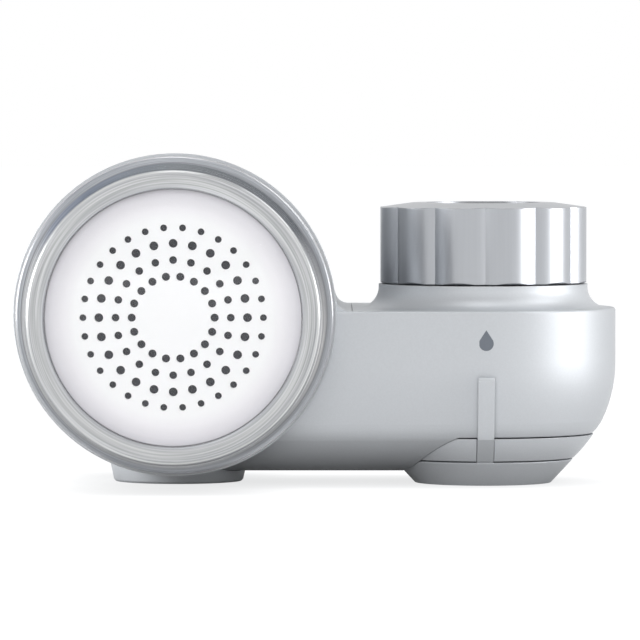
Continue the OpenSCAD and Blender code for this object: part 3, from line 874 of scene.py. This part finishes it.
@dataclass
class Cartridge:
    """The filter cartridge with its white face.

    Attributes:
        shells: White nodes.
        fleece: The fleece behind the face.
        block: The carbon block.
        seal: The seal on the stem.
    """

    shells: tuple[str, ...] = ("cartridge_case", "face_disc")
    fleece: str = "sediment_pad"
    block: str = "filter_block"
    seal: str = "stem_seal"

    def dress(self, dresser: Dresser) -> None:
        """Paints the cartridge's nodes.

        Args:
            dresser: Holds the nodes and materials.
        """
        dresser.paint(WHITE, *self.shells)
        dresser.paint(FLEECE, self.fleece)
        dresser.paint(CARBON, self.block)
        dresser.paint(RUBBER, self.seal)


@dataclass
class Cap:
    """The clear screw cap.

    Attributes:
        wall: The cap itself.
        seal: The ring that seals it in the drum.
    """

    wall: str = "clear_cap"
    seal: str = "cap_seal"

    def dress(self, dresser: Dresser) -> None:
        """Paints the cap's nodes.

        Args:
            dresser: Holds the nodes and materials.
        """
        low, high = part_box(self.wall)
        axis = ((low[0] + high[0]) / 2, 0.0, (low[2] + high[2]) / 2)
        dresser.paint(ClearFinish(axis), self.wall)
        dresser.paint(SILICONE, self.seal)


@dataclass(frozen=True)
class Lamp:
    """A round soft lamp, placed by its direction from the object.

    Attributes:
        name: The lamp's name.
        azimuth: Degrees to the right of the front.
        elevation: Degrees above the horizon.
        distance: Distance from the object.
        size: Diameter.
        power: Power in watts.
        mirrored: Whether glossy surfaces show the lamp itself.
    """

    name: str
    azimuth: float
    elevation: float
    distance: float
    size: float
    power: float
    mirrored: bool = True

    def hang(self, aim: Vector) -> None:
        """Adds the lamp, turned towards a point.

        Args:
            aim: The point.
        """
        way = direction(self.azimuth, self.elevation)
        lamp = bpy.data.lights.new(self.name, "AREA")
        lamp.shape = "DISK"
        lamp.size = self.size
        lamp.energy = self.power
        made = bpy.data.objects.new(self.name, lamp)
        made.location = aim + way * self.distance
        made.rotation_euler = way.to_track_quat("Z", "Y").to_euler()
        made.visible_glossy = self.mirrored
        bpy.context.scene.collection.objects.link(made)
        LOG.info("lamp %s", self.name)


@dataclass(frozen=True)
class Card:
    """A grey card that only glossy surfaces show, as hung round polished things in a studio.

    Attributes:
        name: The card's name.
        azimuth: Degrees to the right of the front.
        elevation: Degrees above the horizon.
        distance: Distance from the object.
        width: Its width.
        height: Its height.
        grey: How bright it looks, 1 for white.
    """

    name: str
    azimuth: float
    elevation: float
    distance: float
    width: float
    height: float
    grey: float

    def hang(self, aim: Vector) -> None:
        """Adds the card, turned towards a point.

        Args:
            aim: The point.
        """
        way = direction(self.azimuth, self.elevation)
        w, h = self.width / 2, self.height / 2
        corners = [(-w, -h, 0.0), (w, -h, 0.0), (w, h, 0.0), (-w, h, 0.0)]
        made = mesh_object(self.name, corners, [(0, 1, 2, 3)], smooth=False)
        made.location = aim + way * self.distance
        made.rotation_euler = way.to_track_quat("Z", "Y").to_euler()
        graph = Graph(self.name)
        noise = graph.noise(3.0)
        shine = graph.add("ShaderNodeEmission")
        tone = graph.span(noise, self.grey * 0.95, self.grey * 1.05)
        graph.join(tone, shine.inputs["Strength"])
        made.data.materials.append(graph.output(shine.outputs[0]))
        made.visible_camera = made.visible_diffuse = made.visible_shadow = False
        made.visible_transmission = False
        made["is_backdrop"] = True
        LOG.info("card %s", self.name)


LAMPS = (
    Lamp("right", azimuth=79.0, elevation=3.0, distance=0.9, size=0.6, power=5.4),
    Lamp("left", azimuth=-76.0, elevation=4.0, distance=1.1, size=0.9, power=14.0),
    Lamp(
        "front", azimuth=-4.0, elevation=14.0, distance=1.7, size=0.8, power=20.0,
        mirrored=False,
    ),
    Lamp("top", azimuth=0.0, elevation=82.0, distance=1.1, size=0.4, power=1.6),
    Lamp("top_right", azimuth=88.0, elevation=50.0, distance=1.0, size=0.5, power=2.2),
)
CARDS = (
    Card(
        "card_above", azimuth=0.0, elevation=90.0, distance=1.3, width=3.0, height=3.0,
        grey=0.35,
    ),
)


@dataclass
class Studio:
    """Floor, world, lamps and camera.

    Attributes:
        eye: Place of the camera.
        target: Point that it looks at.
        lens: Focal length in millimetres.
        sensor: Sensor width in millimetres.
        reach: How far the camera sees.
        floor_half: Half the floor's side.
        floor_tint: The floor's own white.
        floor_lit: Share of the lamps' light that adds to it.
        floor_bounce: How pale the floor is for light that it throws back.
        shade_reach: How far from the object its soft shade reaches on the floor.
        shade_seen: Share of that shade which the camera sees; polished surfaces show it all.
        sky: Strength of the soft light from all sides.
        sky_tint: Colour of that light.
    """

    eye: Point = (mm(-36.7), mm(-1462.5), mm(26.65))
    target: Point = (mm(-36.7), 0.0, mm(-25.1))
    lens: float = 365.6
    sensor: float = 36.0
    reach: float = 20.0
    floor_half: float = 6.0
    floor_tint: Colour = (0.99, 0.995, 1.0)
    floor_lit: float = 0.1
    floor_bounce: float = 0.32
    shade_reach: float = mm(12.0)
    shade_seen: float = 0.24
    sky: float = 0.14
    sky_tint: Colour = (0.96, 0.98, 1.0)

    def seen(self, graph: Graph) -> Socket:
        """Tells the rays that see the background from those that light the object.

        Args:
            graph: A material's or the world's graph.

        Returns:
            1 for camera, glossy and transmission rays, else 0.
        """
        path = graph.add("ShaderNodeLightPath").outputs
        mirrored = graph.math("MAXIMUM", path["Is Camera Ray"], path["Is Glossy Ray"])
        return graph.math("MAXIMUM", mirrored, path["Is Transmission Ray"])

    def floor_white(self, graph: Graph) -> Socket:
        """Adds the floor as it is seen: white, with the object's soft shade and shadow.

        Args:
            graph: The floor's graph.

        Returns:
            The shader.
        """
        shade = graph.add("ShaderNodeAmbientOcclusion", samples=8)
        shade.inputs["Distance"].default_value = self.shade_reach
        path = graph.add("ShaderNodeLightPath").outputs
        weight = graph.span(path["Is Glossy Ray"], self.shade_seen, 1.0)
        hidden = graph.math("SUBTRACT", 1.0, shade.outputs["AO"])
        glow = graph.add("ShaderNodeEmission")
        glow.inputs["Color"].default_value = (*self.floor_tint, 1.0)
        left = graph.math("SUBTRACT", 1.0, graph.math("MULTIPLY", weight, hidden))
        graph.join(left, glow.inputs["Strength"])
        noise = graph.noise(40.0)
        low, high = (self.floor_lit * 0.98,) * 3, (self.floor_lit,) * 3
        lit = graph.add("ShaderNodeBsdfDiffuse")
        graph.join(graph.ramp(noise, 0.0, 1.0, ((0.0, low), (1.0, high))), lit.inputs["Color"])
        both = graph.add("ShaderNodeAddShader")
        graph.join(lit.outputs[0], both.inputs[0])
        graph.join(glow.outputs[0], both.inputs[1])
        return both.outputs[0]

    def floor(self) -> bpy.types.Object:
        """Lays the white floor under the part.

        Returns:
            The floor.
        """
        h, z = self.floor_half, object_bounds()[0][2]
        corners = [(-h, -h, z), (h, -h, z), (h, h, z), (-h, h, z)]
        made = mesh_object("studio_floor", corners, [(0, 1, 2, 3)], smooth=False)
        graph = Graph("studio floor")
        bounce = graph.add("ShaderNodeBsdfDiffuse")
        bounce.inputs["Color"].default_value = (*(self.floor_bounce,) * 3, 1.0)
        shown = self.floor_white(graph)
        surface = graph.mix(self.seen(graph), bounce.outputs[0], shown)
        made.data.materials.append(graph.output(surface))
        made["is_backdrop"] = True
        LOG.info("studio_floor: %s", graph.material.name)
        return made

    def world(self) -> None:
        """Lights the scene softly from all sides, before a white background."""
        world = bpy.data.worlds.new("studio")
        bpy.context.scene.world = world
        world.use_nodes = True
        graph = Graph.of_tree(world.node_tree)
        shown = graph.add("ShaderNodeBackground")
        shown.inputs["Color"].default_value = (*FULL, 1.0)
        soft = graph.add("ShaderNodeBackground")
        soft.inputs["Color"].default_value = (*self.sky_tint, 1.0)
        soft.inputs["Strength"].default_value = self.sky
        surface = graph.mix(self.seen(graph), soft.outputs[0], shown.outputs[0])
        end = graph.add("ShaderNodeOutputWorld")
        graph.join(surface, end.inputs["Surface"])

    def camera(self) -> None:
        """Sets up the camera of the photograph."""
        data = bpy.data.cameras.new("camera")
        data.lens = self.lens
        data.sensor_width = self.sensor
        data.clip_end = self.reach
        made = bpy.data.objects.new("camera", data)
        made.location = self.eye
        look = Vector(self.target) - Vector(self.eye)
        made.rotation_euler = look.to_track_quat("-Z", "Y").to_euler()
        bpy.context.scene.collection.objects.link(made)
        bpy.context.scene.camera = made

    def build(self) -> None:
        """Builds the whole studio."""
        bpy.context.scene.view_settings.view_transform = "Standard"
        self.floor()
        self.world()
        for light in (*LAMPS, *CARDS):
            light.hang(Vector(self.target))
        self.camera()


def main() -> None:
    """Loads the part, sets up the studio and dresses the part."""
    logging.basicConfig(level=logging.INFO, format="%(name)s: %(message)s")
    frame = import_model()
    dresser = Dresser(frame["nodes"])
    Studio().build()
    housing = Housing()
    housing.dress(dresser)
    housing.drop(dresser)
    nut = SwivelNut()
    nut.dress(dresser)
    nut.thread(dresser)
    Diverter().dress(dresser)
    Cartridge().dress(dresser)
    Cap().dress(dresser)


if __name__ == "__main__":
    main()
